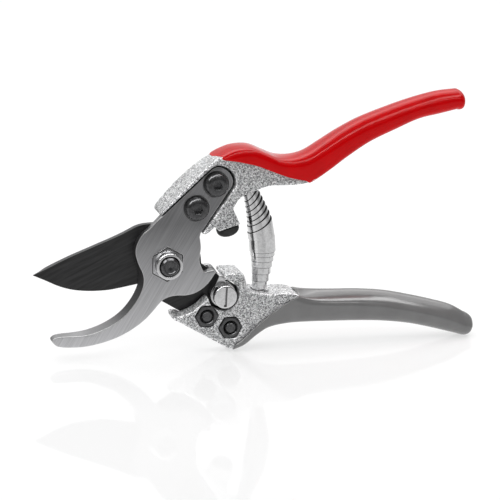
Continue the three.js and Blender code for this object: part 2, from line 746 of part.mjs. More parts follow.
const thumbPad = outline(
  leverSide(3.1, CATCH_LEVER_LENGTH - 6.5, -1),
  [leverSide(3.1, CATCH_LEVER_LENGTH - 2, -1)],
  [leverEnd],
  [leverSide(3.1, CATCH_LEVER_LENGTH - 2, 1)],
  [leverSide(3.1, CATCH_LEVER_LENGTH - 6.5, 1)],
);
add(
  "thumb_catch",
  carve(
    [
      rod(CATCH, CATCH_COLLAR_RADIUS, collarFront, collarBack, 40),
      plate(tooth, collarFront, collarBack - 0.2),
      rod(CATCH, CATCH_SHAFT_RADIUS, collarFront, leverBack, 24),
      plate(lever, leverFront, leverBack),
      plate(thumbPad, leverFront, leverBack + 3),
    ],
    [rod(CATCH, CATCH_SHANK_RADIUS + GAP, -CLEAR, leverBack - 0.6, 20)],
  ),
  BRIGHT_STEEL,
);
const catchWasherFront = collarFront - GAP - 0.5;
add(
  "catch_washer",
  carve(
    [rod(CATCH, CATCH_HEAD_RADIUS + 0.3, catchWasherFront, catchWasherFront + 0.5)],
    [rod(CATCH, CATCH_SHANK_RADIUS + GAP, -CLEAR, CLEAR, 20)],
  ),
  BRIGHT_STEEL,
);
const SLOT_WIDTH = 1.3;
const SLOT_DEPTH = 1.6;
const catchHeadBack = catchWasherFront - GAP;
const slot = new THREE.BoxGeometry(SLOT_WIDTH, 2 * SLOT_DEPTH, CLEAR);
slot.rotateY(radians(3));
slot.translate(CATCH[0] + 0.2, CATCH_HEAD_FRONT, CATCH[1]);
add(
  "catch_screw",
  carve(
    [
      turned(CATCH, [
        [0, CATCH_HEAD_FRONT],
        [CATCH_HEAD_RADIUS - 0.5, CATCH_HEAD_FRONT],
        [CATCH_HEAD_RADIUS, CATCH_HEAD_FRONT + 0.5],
        [CATCH_HEAD_RADIUS, catchHeadBack],
        [CATCH_SHANK_RADIUS, catchHeadBack],
        [CATCH_SHANK_RADIUS, leverBack - 1],
        [0, leverBack - 1],
      ]),
    ],
    [slot],
  ),
  BRIGHT_STEEL,
);

// ---------------------------------------------------------------- volute spring
const springRadius = new THREE.SplineCurve(vectors(SPRING_RADII.map((r, i) => [i, r])));
const SPRING_RINGS = 16;
const springRings = Array.from({ length: SPRING_RINGS + 1 }, (_, i) => {
  const part = i / SPRING_RINGS;
  const centre = springLine.getPoint(part);
  const tangent = springLine.getTangent(part);
  const radius = springRadius.getPoint(part).y;
  return Array.from({ length: RING }, (_, j) => {
    const angle = (j * 2 * Math.PI) / RING;
    return new THREE.Vector3(
      centre.x + tangent.y * radius * Math.cos(angle),
      MIDDLE + radius * Math.sin(angle),
      centre.y - tangent.x * radius * Math.cos(angle),
    );
  });
});
add("volute_spring", loft(springRings), BRIGHT_STEEL);

// The origin is the middle of the underside.
const box = new THREE.Box3().setFromObject(shears);
shears.position.set(-(box.min.x + box.max.x) / 2, -(box.min.y + box.max.y) / 2, -box.min.z);

export default shears;
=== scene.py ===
"""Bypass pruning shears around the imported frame. Shapes are in millimetres about the pivot."""
import json
import math

import bmesh
import bpy
import numpy as np
from mathutils import Matrix, Vector, noise
from mathutils.geometry import tessellate_polygon

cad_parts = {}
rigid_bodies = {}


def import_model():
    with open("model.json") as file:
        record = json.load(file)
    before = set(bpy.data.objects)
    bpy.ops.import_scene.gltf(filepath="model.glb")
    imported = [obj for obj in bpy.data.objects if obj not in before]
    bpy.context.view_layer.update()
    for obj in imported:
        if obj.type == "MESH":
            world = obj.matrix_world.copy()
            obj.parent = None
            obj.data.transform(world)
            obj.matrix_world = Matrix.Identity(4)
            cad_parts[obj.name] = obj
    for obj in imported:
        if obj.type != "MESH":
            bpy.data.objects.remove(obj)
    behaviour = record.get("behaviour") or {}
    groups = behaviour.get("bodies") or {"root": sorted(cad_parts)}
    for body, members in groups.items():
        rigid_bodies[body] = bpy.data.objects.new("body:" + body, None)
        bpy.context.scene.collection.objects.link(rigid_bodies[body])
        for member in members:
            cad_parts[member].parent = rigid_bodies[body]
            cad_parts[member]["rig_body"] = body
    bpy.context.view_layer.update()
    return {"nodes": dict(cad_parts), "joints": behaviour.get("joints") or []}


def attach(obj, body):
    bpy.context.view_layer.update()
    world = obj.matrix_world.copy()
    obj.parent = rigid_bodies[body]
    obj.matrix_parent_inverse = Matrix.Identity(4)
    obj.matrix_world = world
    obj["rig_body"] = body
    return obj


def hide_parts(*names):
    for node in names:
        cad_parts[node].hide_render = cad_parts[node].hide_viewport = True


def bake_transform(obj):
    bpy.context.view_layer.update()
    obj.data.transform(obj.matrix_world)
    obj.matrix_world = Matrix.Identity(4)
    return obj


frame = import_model()

MM = 0.001
PIVOT = Vector(frame["joints"][0]["pos_m"])
CATCH = (25, -14.8)
HOOK_SCREWS = {"lower": (12.4, 24.3), "upper": (20.8, 34.6)}
BLADE_BOLTS = {"front": (17.6, -23.9), "rear": (28.2, -29.5)}

# Layers of the tool, along Y.
HOOK_FRONT, HOOK_BACK = -4.5, -0.15
BLADE_FRONT, BLADE_BACK = 0.15, 3.0
CASTING_FRONT, CASTING_BACK = -6.0, 9.5
MIDDLE = (CASTING_FRONT + CASTING_BACK) / 2


def place(x, y, z):
    """A point in the row frame, in metres, from millimetres about the pivot."""
    return PIVOT + Vector((x, y, z)) * MM


# ---- camera
TARGET = place(37.79, 0, 3.43)
DISTANCE = 1.206
AZIMUTH, ELEVATION, ROLL = math.radians(-15.5), math.radians(15), math.radians(1.4)
right = Vector((math.cos(AZIMUTH), math.sin(AZIMUTH), 0))
away = Vector((
    math.sin(AZIMUTH) * math.cos(ELEVATION),
    -math.cos(AZIMUTH) * math.cos(ELEVATION),
    math.sin(ELEVATION),
))
upward = away.cross(right)
rolled_right = right * math.cos(ROLL) + upward * math.sin(ROLL)
rolled_up = upward * math.cos(ROLL) - right * math.sin(ROLL)
lens = bpy.data.cameras.new("camera")
lens.lens = 200
lens.sensor_width = 36
lens.clip_start = 0.01
lens.clip_end = 20
camera = bpy.data.objects.new("camera", lens)
bpy.context.scene.collection.objects.link(camera)
camera.matrix_world = Matrix.Translation(TARGET + away * DISTANCE) @ Matrix(
    (rolled_right, rolled_up, away)).transposed().to_4x4()
bpy.context.scene.camera = camera


# ---- materials
class Nodes:
    """Adds shader nodes to a tree. Keywords are node settings, socket values or linked sockets."""

    def __init__(self, tree):
        self.tree = tree
        tree.nodes.clear()

    def add(self, kind, inputs=None, **settings):
        made = self.tree.nodes.new("ShaderNode" + kind)
        for key, value in settings.items():
            setattr(made, key, value)
        for key, value in (inputs or {}).items():
            if isinstance(value, bpy.types.NodeSocket):
                self.tree.links.new(value, made.inputs[key])
            else:
                made.inputs[key].default_value = value
        return made

    def ramp(self, fac, stops):
        """Colour or grey ramp; stops are (position, value)."""
        made = self.add("ValToRGB", {"Fac": fac})
        elements = made.color_ramp.elements
        while len(elements) < len(stops):
            elements.new(0.5)
        for element, (position, value) in zip(elements, stops):
            element.position = position
            colour = value if isinstance(value, tuple) else (value,) * 3
            element.color = (*colour, 1)
        return made.outputs["Color"]

    def spread(self, value, low=0.0, high=1.0, since=0.0, until=1.0):
        """Goes from low to high as the value goes from since to until."""
        made = self.add("MapRange", {"Value": value, "From Min": since, "From Max": until,
                                     "To Min": low, "To Max": high})
        return made.outputs["Result"]


def new_material(name):
    material = bpy.data.materials.new(name)
    material.use_nodes = True
    return material, Nodes(material.node_tree)


def shaded(name, base, metallic, roughness, build, **constants):
    """A Principled material. build(nodes, coordinates, base) gives the linked sockets."""
    material, nodes = new_material(name)
    coordinates = nodes.add("TexCoord").outputs["Object"]
    inputs = {"Base Color": (*base, 1), "Metallic": metallic, "Roughness": roughness}
    inputs.update(build(nodes, coordinates, base))
    inputs.update(constants)
    surface = nodes.add("BsdfPrincipled", inputs)
    nodes.add("OutputMaterial", {"Surface": surface.outputs["BSDF"]})
    return material


def noise_of(nodes, vector, scale, detail=2.0, rough=0.5):
    made = nodes.add("TexNoise", {
        "Vector": vector, "Scale": scale, "Detail": detail, "Roughness": rough})
    return made.outputs["Fac"]


def bump(nodes, height, strength, distance, normal=None):
    inputs = {"Height": height, "Strength": strength, "Distance": distance}
    if normal is not None:
        inputs["Normal"] = normal
    return nodes.add("Bump", inputs).outputs["Normal"]


def streaks(nodes, vector, degrees, fine=2600, along=45):
    """Noise drawn out along a direction in the XZ plane, degrees up from +X."""
    turned = nodes.add("VectorRotate", {
        "Vector": vector, "Angle": math.radians(degrees)}, rotation_type="Y_AXIS")
    stretched = nodes.add("VectorMath", {0: turned.outputs["Vector"], 1: (along, fine, fine)},
                          operation="MULTIPLY")
    return noise_of(nodes, stretched.outputs["Vector"], 1.0, 3.0, 0.6)


def tint(base, amount):
    return tuple(min(1, c * amount) for c in base)


def cast_look(nodes, vector, base):
    grain = noise_of(nodes, vector, 1750, 2.0, 0.6)
    cells = nodes.add("TexVoronoi", {"Vector": vector, "Scale": 2500})
    crystal = nodes.add("SeparateXYZ", {"Vector": cells.outputs["Color"]}).outputs["X"]
    broad = noise_of(nodes, vector, 160, 3.0)
    mixed = nodes.add("MixRGB", {"Fac": 0.45, "Color1": crystal, "Color2": grain})
    fine = nodes.ramp(mixed.outputs["Color"], [
        (0.22, tint(base, 0.06)), (0.5, base), (0.76, tint(base, 1.95))])
    worn = nodes.add("MixRGB", {
        "Fac": nodes.spread(broad, 0.0, 0.16), "Color1": fine, "Color2": (*tint(base, 1.4), 1)})
    # painted highlight on edges, which are painted bright, and painted shade in hollow corners,
    # which are painted dark
    bend = nodes.add("NewGeometry").outputs["Pointiness"]
    painted_edge_highlight = nodes.spread(bend, 1.0, 1.9, since=0.51, until=0.56)
    painted_hollow_shade = nodes.spread(bend, 0.45, 1.0, since=0.44, until=0.49)
    level = nodes.add("Math", {0: painted_edge_highlight, 1: painted_hollow_shade}, operation="MULTIPLY")
    shade = nodes.add("VectorMath", {0: worn.outputs["Color"], 1: level.outputs["Value"]},
                      operation="MULTIPLY")
    facets = bump(nodes, cells.outputs["Distance"], 0.5, 0.0003)
    return {
        "Base Color": shade.outputs["Vector"],
        "Roughness": nodes.spread(grain, 0.62, 0.34),
        "Normal": bump(nodes, grain, 1.0, 0.0003, facets),
    }


PAINTED_LIGHT_TOP = 0.1


def with_painted_height_light(nodes, vector, colour, painted_height_light):
    """The colour times a share that changes with height, up to PAINTED_LIGHT_TOP metres: painted
    light and shade by height.
    """
    height = nodes.add("SeparateXYZ", {"Vector": vector}).outputs["Z"]
    # the ramp gives half of the share, so that it stays within 1
    half_share = nodes.ramp(nodes.spread(height, until=PAINTED_LIGHT_TOP),
                            [(at / PAINTED_LIGHT_TOP, level / 2) for at, level in painted_height_light])
    halved = nodes.add("MixRGB", {"Fac": 1.0, "Color1": colour, "Color2": half_share},
                       blend_type="MULTIPLY")
    return nodes.add("VectorMath", {0: halved.outputs["Color"], 1: (2, 2, 2)},
                     operation="MULTIPLY")


def brushed_look(degrees, low=0.26, high=0.46, contrast=0.12, painted_height_light=()):
    """Fine parallel grain. fade lists (height in metres, share of the base colour) of painted
    light and shade by height.
    """
    def build(nodes, vector, base):
        lines = streaks(nodes, vector, degrees)
        patches = noise_of(nodes, vector, 40, 2.0)
        colour = nodes.ramp(lines, [
            (0.3, tint(base, 1 - contrast)), (0.5, base), (0.7, tint(base, 1 + contrast))])
        shade = nodes.add("MixRGB", {
            "Fac": nodes.spread(patches, 0.0, 0.25), "Color1": colour,
            "Color2": (*tint(base, 1.15), 1)})
        if painted_height_light:
            # painted light and shade by height
            shade = with_painted_height_light(nodes, vector, shade.outputs["Color"], painted_height_light)
        return {
            "Base Color": shade.outputs[0],
            "Roughness": nodes.spread(lines, low, high),
            "Normal": bump(nodes, lines, 0.6, 0.00001),
        }
    return build


def polished_look(low, high):
    def build(nodes, vector, base):
        marks = noise_of(nodes, vector, 900, 4.0, 0.7)
        colour = nodes.ramp(marks, [(0.35, tint(base, 0.9)), (0.65, tint(base, 1.08))])
        return {"Base Color": colour, "Roughness": nodes.spread(marks, low, high),
                "Normal": bump(nodes, marks, 0.15, 0.00001)}
    return build


def coated_look(degrees):
    def build(nodes, vector, base):
        lines = streaks(nodes, vector, degrees, 1000, 60)
        colour = nodes.ramp(lines, [(0.35, tint(base, 0.3)), (0.65, tint(base, 2.4))])
        return {"Base Color": colour, "Roughness": nodes.spread(lines, 0.26, 0.5),
                "Normal": bump(nodes, lines, 0.4, 0.00002)}
    return build


def dipped_look(low, high):
    def build(nodes, vector, base):
        soft = noise_of(nodes, vector, 120, 3.0)
        peel = noise_of(nodes, vector, 650, 2.0)
        colour = nodes.ramp(soft, [(0.3, tint(base, 0.93)), (0.7, tint(base, 1.05))])
        return {"Base Color": colour, "Roughness": nodes.spread(peel, low, high),
                "Normal": bump(nodes, peel, 0.04, 0.00003)}
    return build


def grained_look(low, high):
    def build(nodes, vector, base):
        grain = noise_of(nodes, vector, 1400, 3.0, 0.6)
        colour = nodes.ramp(grain, [(0.3, tint(base, 0.7)), (0.7, tint(base, 1.5))])
        return {"Base Color": colour, "Roughness": nodes.spread(grain, low, high),
                "Normal": bump(nodes, grain, 0.3, 0.00003)}
    return build


BRUSH_ANGLE, COATING_ANGLE = 60, 25
# Painted light and shade on the hook's steel, from its tip up to its tang, lighter at the tip and
# darker towards the tang: (height in metres, share of the base colour).
HOOK_PAINTED_HEIGHT_LIGHT = [(0.0, 1.4), (0.02, 1.3), (0.036, 1.15), (0.046, 0.95), (0.058, 0.62), (0.085, 0.76)]
finishes = {
    # the cast finish carries a painted highlight on edges and painted shade in hollow corners
    "cast": shaded("cast aluminium with painted edge light and shade", (0.54, 0.545, 0.555), 0.7, 0.5, cast_look),
    # the brushed steel carries painted light and shade by height
    "brushed": shaded("brushed steel with painted height light", (0.42, 0.42, 0.43), 1.0, 0.35, brushed_look(
        BRUSH_ANGLE, contrast=0.2, painted_height_light=HOOK_PAINTED_HEIGHT_LIGHT)),
    "ground": shaded("ground steel", (0.21, 0.21, 0.213), 1.0, 0.4, brushed_look(
        BRUSH_ANGLE + 90, 0.34, 0.5)),
    "polished": shaded("polished edge", (0.7, 0.7, 0.7), 1.0, 0.3, polished_look(0.3, 0.42)),
    "coated": shaded("coated steel", (0.009, 0.009, 0.0095), 0.0, 0.4, coated_look(
        COATING_ANGLE)),
    "oxide": shaded("black oxide", (0.075, 0.075, 0.077), 0.7, 0.2, grained_look(0.12, 0.24)),
    "bright": shaded("bright steel", (0.74, 0.74, 0.745), 1.0, 0.15, polished_look(0.1, 0.24)),
    # the strip edge's dark colour is partly its sheared edge and partly painted shade of the gaps
    # between turns
    "sheared_painted_shade": shaded("sheared strip edge with painted gap shade", (0.02, 0.02, 0.021), 0.8, 0.5, grained_look(
        0.4, 0.6)),
    "red": shaded("red dipped coat", (0.6, 0.0005, 0.002), 0.0, 0.2, dipped_look(0.1, 0.18),
                  **{"Specular IOR Level": 0.16}),
    "grey": shaded("grey dipped coat", (0.18, 0.18, 0.18), 0.0, 0.3, dipped_look(0.12, 0.2),
                   **{"Specular IOR Level": 0.75}),
    "rubber": shaded("black rubber", (0.014, 0.014, 0.014), 0.0, 0.6, grained_look(0.5, 0.7)),
    "bronze": shaded("sintered bronze", (0.4, 0.2, 0.07), 0.9, 0.45, grained_look(0.35, 0.55)),
}


# ---- outlines
def spline_point(points, i, t):
    """Point at the share t of the way from point i to the next on a Catmull-Rom curve."""
    last = len(points) - 1
    a, b = points[max(i - 1, 0)], points[i]
    c, d = points[i + 1], points[min(i + 2, last)]
    return tuple(
        0.5 * (2 * q + (r - p) * t + (2 * p - 5 * q + 4 * r - s) * t ** 2
               + (3 * q - p - 3 * r + s) * t ** 3)
        for p, q, r, s in zip(a, b, c, d))


def smooth(points, steps):
    """Curve through points, with steps points for each stretch and without the first point."""
    return [spline_point(points, i, k / steps)
            for i in range(len(points) - 1) for k in range(1, steps + 1)]


CURVE_STEPS = 6
RING = 72  # points of a hexagon's ring, and of the circles that meet one


def outline(start, *stretches):
    """Closed outline: a stretch of one point is a straight line, a longer one a smooth curve."""
    points = [start]
    for stretch in stretches:
        if len(stretch) == 1:
            points.append(stretch[0])
        else:
            points += smooth([points[-1], *stretch], CURVE_STEPS)
    if math.dist(points[0], points[-1]) < 0.01:
        points.pop()
    return points


def circle(at, radius, count=64, turn=0.0):
    return [(at[0] + radius * math.cos(a), at[1] + radius * math.sin(a))
            for a in (math.radians(turn) + 2 * math.pi * i / count for i in range(count))]


def hexagon(at, flats, turn=0.0):
    """Hexagon as a fine ring, with corners at turn, turn + 60 and so on."""
    points = []
    for i in range(RING):
        a = 2 * math.pi * i / RING
        reach = flats / 2 / math.cos((a % (math.pi / 3)) - math.pi / 6)
        b = a + math.radians(turn)
        points.append((at[0] + reach * math.cos(b), at[1] + reach * math.sin(b)))
    return points


def inset(points, amount):
    """The outline moved inwards, corners mitred."""
    count = len(points)
    area = sum(points[i - 1][0] * points[i][1] - points[i][0] * points[i - 1][1]
               for i in range(count))
    sign = 1 if area > 0 else -1
    moved = []
    for i, here in enumerate(points):
        before, after = Vector(points[i - 1]), Vector(points[(i + 1) % count])
        one = (Vector(here) - before).normalized()
        two = (after - Vector(here)).normalized()
        normal = Vector((-(one.y + two.y), one.x + two.x))
        length = max(normal.length, 0.9)
        normal = normal.normalized() * (2 / length) * sign
        moved.append((here[0] + normal.x * amount, here[1] + normal.y * amount))
    return moved


# ---- bodies
class Shell:
    """A closed skin of rings joined by walls and flat caps. Rings are outlines at a depth in Y."""

    def __init__(self):
        self.points, self.faces, self.looks = [], [], []

    def ring(self, points, depth):
        depths = depth if hasattr(depth, "__len__") else [depth] * len(points)
        start = len(self.points)
        self.points += [(x, y, z) for (x, z), y in zip(points, depths)]
        return list(range(start, len(self.points)))

    def loop(self, points):
        start = len(self.points)
        self.points += [tuple(p) for p in points]
        return list(range(start, len(self.points)))

    def wall(self, rings, look=0):
        for a, b in zip(rings, rings[1:]):
            count = len(a)
            for i in range(count):
                j = (i + 1) % count
                self.faces.append((a[i], a[j], b[j], b[i]))
                self.looks.append(look)

    def cap(self, outer, *holes, look=0):
        index = list(outer)
        loops = [[Vector((self.points[i][0], self.points[i][2], 0)) for i in outer]]
        for hole in holes:
            index += hole
            loops.append([Vector((self.points[i][0], self.points[i][2], 0)) for i in hole])
        for triangle in tessellate_polygon(loops):
            self.faces.append(tuple(index[i] for i in triangle))
            self.looks.append(look)

    def fan(self, ring, tip):
        self.points.append(tip)
        top = len(self.points) - 1
        for i, a in enumerate(ring):
            self.faces.append((a, ring[(i + 1) % len(ring)], top))
            self.looks.append(0)

    def edge(self, points, depth, inwards, radius, steps):
        """Rings of a rounded edge, from the flat face at depth to the wall; inwards is the way
        into the body along Y. A negative radius rounds the mouth of a hole."""
        rings = []
        for k in range(steps + 1):
            a = math.pi / 2 * k / steps
            rings.append(self.ring(inset(points, radius * (1 - math.sin(a))),
                                   depth + inwards * abs(radius) * (1 - math.cos(a))))
        return rings


def skin(name, shell, looks):
    """The shell as a mesh with all its faces pointing out."""
    mesh = bpy.data.meshes.new(name)
    mesh.from_pydata([place(*p) for p in shell.points], [], shell.faces)
    mesh.polygons.foreach_set("material_index", shell.looks)
    for look in looks:
        mesh.materials.append(finishes[look])
    clean = bmesh.new()
    clean.from_mesh(mesh)
    bmesh.ops.recalc_face_normals(clean, faces=clean.faces)
    clean.to_mesh(mesh)
    clean.free()
    return mesh


def piece(name, shell, looks, *nodes, smooth_below=40, weighted=True):
    """The shell as an object that rides with, and stands for, its CAD nodes."""
    return finished(name, skin(name, shell, looks), nodes, smooth_below, weighted)


def finished(name, mesh, nodes, smooth_below, weighted, rides=True):
    """The mesh as a piece. Edges turning by more than smooth_below degrees stay sharp."""
    mesh.shade_smooth()
    mesh.set_sharp_from_angle(angle=math.radians(smooth_below))
    made = bpy.data.objects.new(name, mesh)
    bpy.context.scene.collection.objects.link(made)
    if weighted:
        made.modifiers.new("weights", "WEIGHTED_NORMAL").keep_sharp = True
    if rides:
        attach(made, frame["nodes"][nodes[0]]["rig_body"])
    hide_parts(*nodes)
    return made


# ---- hook
def hook_outline(grind):
    """The hook, with its edge towards the blade ground in by grind."""
    return outline(
        (14.5, 13.2),
        [(27.9, 33.4)],
        [(28.3, 35), (27.9, 37.2), (26.4, 39.6), (24.1, 41.3), (21.6, 42.1), (19, 41.2)],
        [(-2.7, 21.2)],
        [(-4.4 - grind * 0.4, 19.4), (-7.6 - grind * 0.3, 16.2), (-10.9 - grind * 0.3, 13.4),
         (-13.4 - grind * 0.1, 9.6), (-14.2, 5.6), (-13.4 + grind * 0.3, 1),
         (-12 + grind * 0.8, -4), (-12 + grind, -8.2), (-13.4 + grind, -12.4 - grind * 0.3),
         (-15.7 + grind * 0.8, -16.4 - grind * 0.6), (-19 + grind * 0.6, -20.4 - grind * 0.8),
         (-23.5 + grind * 0.5, -23.9 - grind * 0.9), (-29, -26.7 - grind),
         (-34.6, -28.5 - grind * 0.9), (-40, -29.3 - grind * 0.6),
         (-45.4, -29.6 - grind * 0.3)],
        [(-48.9, -30.2 - grind * 0.2), (-50.3, -31.8), (-48.2, -34.1), (-45, -34.9)],
        [(-42, -35.1), (-36.4, -35.1), (-30.9, -34.3), (-25.3, -32.9), (-19.7, -30.8),
         (-14.1, -27.7), (-8.6, -23.4), (-3.4, -17.5)],
        [(-1.6, -15.8), (1.2, -14.6), (4.6, -14.2), (8.4, -14.3), (12, -13.6), (15, -12.1),
         (17.8, -9.8), (20, -6.9), (21.6, -4.6)],
        [(20.6, -3.7)],
        [(18.4, -4), (16.6, -4.4), (15.6, -3.2), (14.3, -0.2)],
        [(14.1, 1.6), (14.4, 4), (14.7, 6.4), (14.5, 9), (14.1, 11.4)],
    )


HOOK_GRIND = 1.5
NUT_RECESS_FLATS, NUT_RECESS_FLOOR = 13.3, -2.5
PIVOT_HOLE = 4.3
SCREW_SEAT, SCREW_SEAT_DEPTH, SCREW_HOLE = 5.75, 0.6, 3.1
BRUSHED, GROUND, EDGE = 0, 1, 2


def build_hook():
    shell = Shell()
    front = shell.edge(hook_outline(HOOK_GRIND), HOOK_FRONT, 1, 0.28, 2)
    back = shell.edge(hook_outline(0), HOOK_BACK, -1, 0.12, 1)
    shell.wall(front, EDGE)
    shell.wall([front[-1], back[-1]], GROUND)
    shell.wall(back, EDGE)
    around_nut = hexagon((0, 0), NUT_RECESS_FLATS, turn=30)
    recess = shell.edge(around_nut, HOOK_FRONT, 1, -0.22, 2)
    recess.append(shell.ring(around_nut, NUT_RECESS_FLOOR))
    bore = shell.ring(circle((0, 0), PIVOT_HOLE), NUT_RECESS_FLOOR)
    bore_back = shell.ring(circle((0, 0), PIVOT_HOLE), HOOK_BACK)
    shell.wall(recess, EDGE)
    shell.cap(recess[-1], bore, look=GROUND)
    shell.wall([bore, bore_back], GROUND)
    mouths, ends = [recess[0]], [bore_back]
    for at in HOOK_SCREWS.values():
        seat = shell.edge(circle(at, SCREW_SEAT), HOOK_FRONT, 1, -0.2, 2)
        seat.append(shell.ring(circle(at, SCREW_SEAT), HOOK_FRONT + SCREW_SEAT_DEPTH))
        hole = shell.ring(circle(at, SCREW_HOLE), HOOK_FRONT + SCREW_SEAT_DEPTH)
        hole_back = shell.ring(circle(at, SCREW_HOLE), HOOK_BACK)
        shell.wall(seat, EDGE)
        shell.cap(seat[-1], hole, look=GROUND)
        shell.wall([hole, hole_back], GROUND)
        mouths.append(seat[0])
        ends.append(hole_back)
    shell.cap(front[0], *mouths, look=BRUSHED)
    shell.cap(back[0], *ends, look=BRUSHED)
    piece("hook", shell, ["brushed", "ground", "polished"], "hook_blade")


# ---- blade
def blade_outline(grind):
    """The blade, with its cutting edge ground in by grind."""
    return outline(
        (16.1, -1.7),
        [(15.4, 3.5), (13, 8.6), (8.6, 13.2), (2.6, 16.2), (-3.6, 17.1), (-9.6, 16.9)],
        [(-13, 16), (-18.5, 13.3), (-24.1, 10.9), (-29.7, 8.7), (-35.2, 6.5), (-40.8, 4.3),
         (-46.3, 1.9), (-51.8, -0.7), (-58 + grind * 1.2, -3.3 + grind * 0.3)],
        [(-52.4 + grind * 0.4, -5.9 + grind * 0.6), (-46.8 + grind * 0.2, -8.6 + grind * 0.9),
         (-41.3, -10.4 + grind), (-35.7, -11.3 + grind), (-30.1, -11.6 + grind),
         (-24.5, -11.4 + grind), (-18.9, -10.6 + grind * 0.8), (-12.2, -9.4 + grind * 0.3)],
        [(-7.4, -10.2), (-4.6, -13.6), (-1.6, -17.4)],
        [(31, -37.2)],
        [(33.4, -37.6), (35.6, -35.8)],
        [(42, -25)],
        [(42.4, -22), (40.6, -19.2), (38, -16.6)],
    )


# The blade from front to back: (grind of its cutting edge, depth).
BLADE_LAYERS = [(0.12, BLADE_FRONT), (0, BLADE_FRONT + 0.1), (0.7, BLADE_FRONT + 0.75),
                (3, BLADE_BACK)]
BUSHING_HOLE, CATCH_HOLE, BLADE_BOLT_HOLE = 5.3, 3.3, 2.8


def build_blade():
    shell = Shell()
    layers = [shell.ring(blade_outline(grind), depth) for grind, depth in BLADE_LAYERS]
    shell.wall(layers)
    mouths, ends = [], []
    holes = [((0, 0), BUSHING_HOLE), (CATCH, CATCH_HOLE),
             *((at, BLADE_BOLT_HOLE) for at in BLADE_BOLTS.values())]
    for at, radius in holes:
        mouths.append(shell.ring(circle(at, radius), BLADE_FRONT))
        ends.append(shell.ring(circle(at, radius), BLADE_BACK))
        shell.wall([mouths[-1], ends[-1]])
    shell.cap(layers[0], *mouths)
    shell.cap(layers[-1], *ends)
    piece("blade", shell, ["coated"], "cutting_blade", smooth_below=25)


# ---- fasteners
NUT_FACE = 0.955  # width of the round face of a nut, as a share of its flats


def lathe(shell, at, profile):
    """Rings of (radius, y) pairs about an axis along Y; gives the rings back."""
    rings = [shell.ring(circle(at, radius), y) for radius, y in profile]
    shell.wall(rings)
    return rings


def socket(shell, at, rim, y, flats, depth, back):
    """A hexagon socket sunk into the flat top inside the ring rim, going back along Y."""
    mouth = [shell.ring(hexagon(at, flats + 2 * c), y + back * d)
             for c, d in ((0.16, 0), (0, 0.16), (0, depth))]
    floor = shell.ring(circle(at, flats * 0.42, RING), y + back * (depth + 0.05))
    shell.cap(rim, mouth[0])
    shell.wall(mouth)
    shell.wall([mouth[-1], floor])
    shell.fan(floor, (at[0], y + back * (depth + 0.5), at[1]))


def dome(radius, height, y, back, start, count=9):
    """Profile of a domed head from its flat top of radius start to its rim."""
    profile = []
    for i in range(count):
        t = i / (count - 1)
        r = start + (radius - start) * math.sin(t * math.pi / 2)
        profile.append((r, y + back * height * (1 - math.cos(t * math.pi / 2))))
    return profile


def button_screw(node, at, radius, height, seat, back, flats, shank, end):
    """Button head on the side of the seat that points against back, with its shank."""
    shell = Shell()
    top = seat - back * height
    profile = dome(radius, height - 0.55, top, back, flats * 0.5 + 0.75)
    profile += [(radius, seat - back * 0.25), (radius - 0.25, seat), (shank, seat),
                (shank, end - back * 0.5), (shank - 0.5, end)]
    rings = lathe(shell, at, profile)
    socket(shell, at, rings[0], top, flats, 1.7, back)
    shell.cap(rings[-1])
    piece(f"{node}_button", shell, ["oxide"], node, smooth_below=45)


def corner_depths(shape, at, round_face, face, slope):
    """Depths of a nut's face at its outline, sloping away where the corners are turned off."""
    return [face + max(0, math.dist(p, at) - round_face) * slope for p in shape]


def hexagon_nut(node, at, flats, front, back_face, bore):
    """Nut with its corners turned off on both faces, and a countersunk bore."""
    shell = Shell()
    slope = math.tan(math.radians(30))
    sink = 0.5
    round_face = flats / 2 * NUT_FACE
    shape = hexagon(at, flats)
    rings = [
        shell.ring(circle(at, bore, RING), front + sink),
        shell.ring(circle(at, bore + sink, RING), front),
        shell.ring(circle(at, round_face, RING), front),
        shell.ring(shape, corner_depths(shape, at, round_face, front, slope)),
        shell.ring(shape, corner_depths(shape, at, round_face, back_face, -slope)),
        shell.ring(circle(at, round_face, RING), back_face),
        shell.ring(circle(at, bore + sink, RING), back_face),
        shell.ring(circle(at, bore, RING), back_face - sink),
    ]
    shell.wall([*rings, rings[0]])
    piece(f"{node}_hexagon", shell, ["oxide"], node, smooth_below=28)


def build_fasteners():
    for key, at in HOOK_SCREWS.items():
        button_screw(f"hook_screw_{key}", at, radius=5.3, height=3.0, seat=HOOK_FRONT - 0.3,
                     back=1, flats=3.4, shank=2.8, end=CASTING_BACK - 1)
        hexagon_nut(f"hook_nut_{key}", at, flats=10, front=CASTING_BACK - 3.8,
                    back_face=CASTING_BACK - 0.2, bore=3.1)
    for key, at in BLADE_BOLTS.items():
        button_screw(f"blade_bolt_{key}", at, radius=4.4, height=2.8, seat=BLADE_BACK + 0.3,
                     back=-1, flats=3, shank=2.5, end=CASTING_FRONT - 0.4)
        hexagon_nut(f"blade_nut_{key}", at, flats=8.8, front=CASTING_FRONT - 0.1,
                    back_face=CASTING_FRONT + 3.5, bore=2.8)


NUT_FLATS, NUT_FRONT, NUT_BACK, NUT_BORE = 12.7, -4.6, -2.8, 4.3


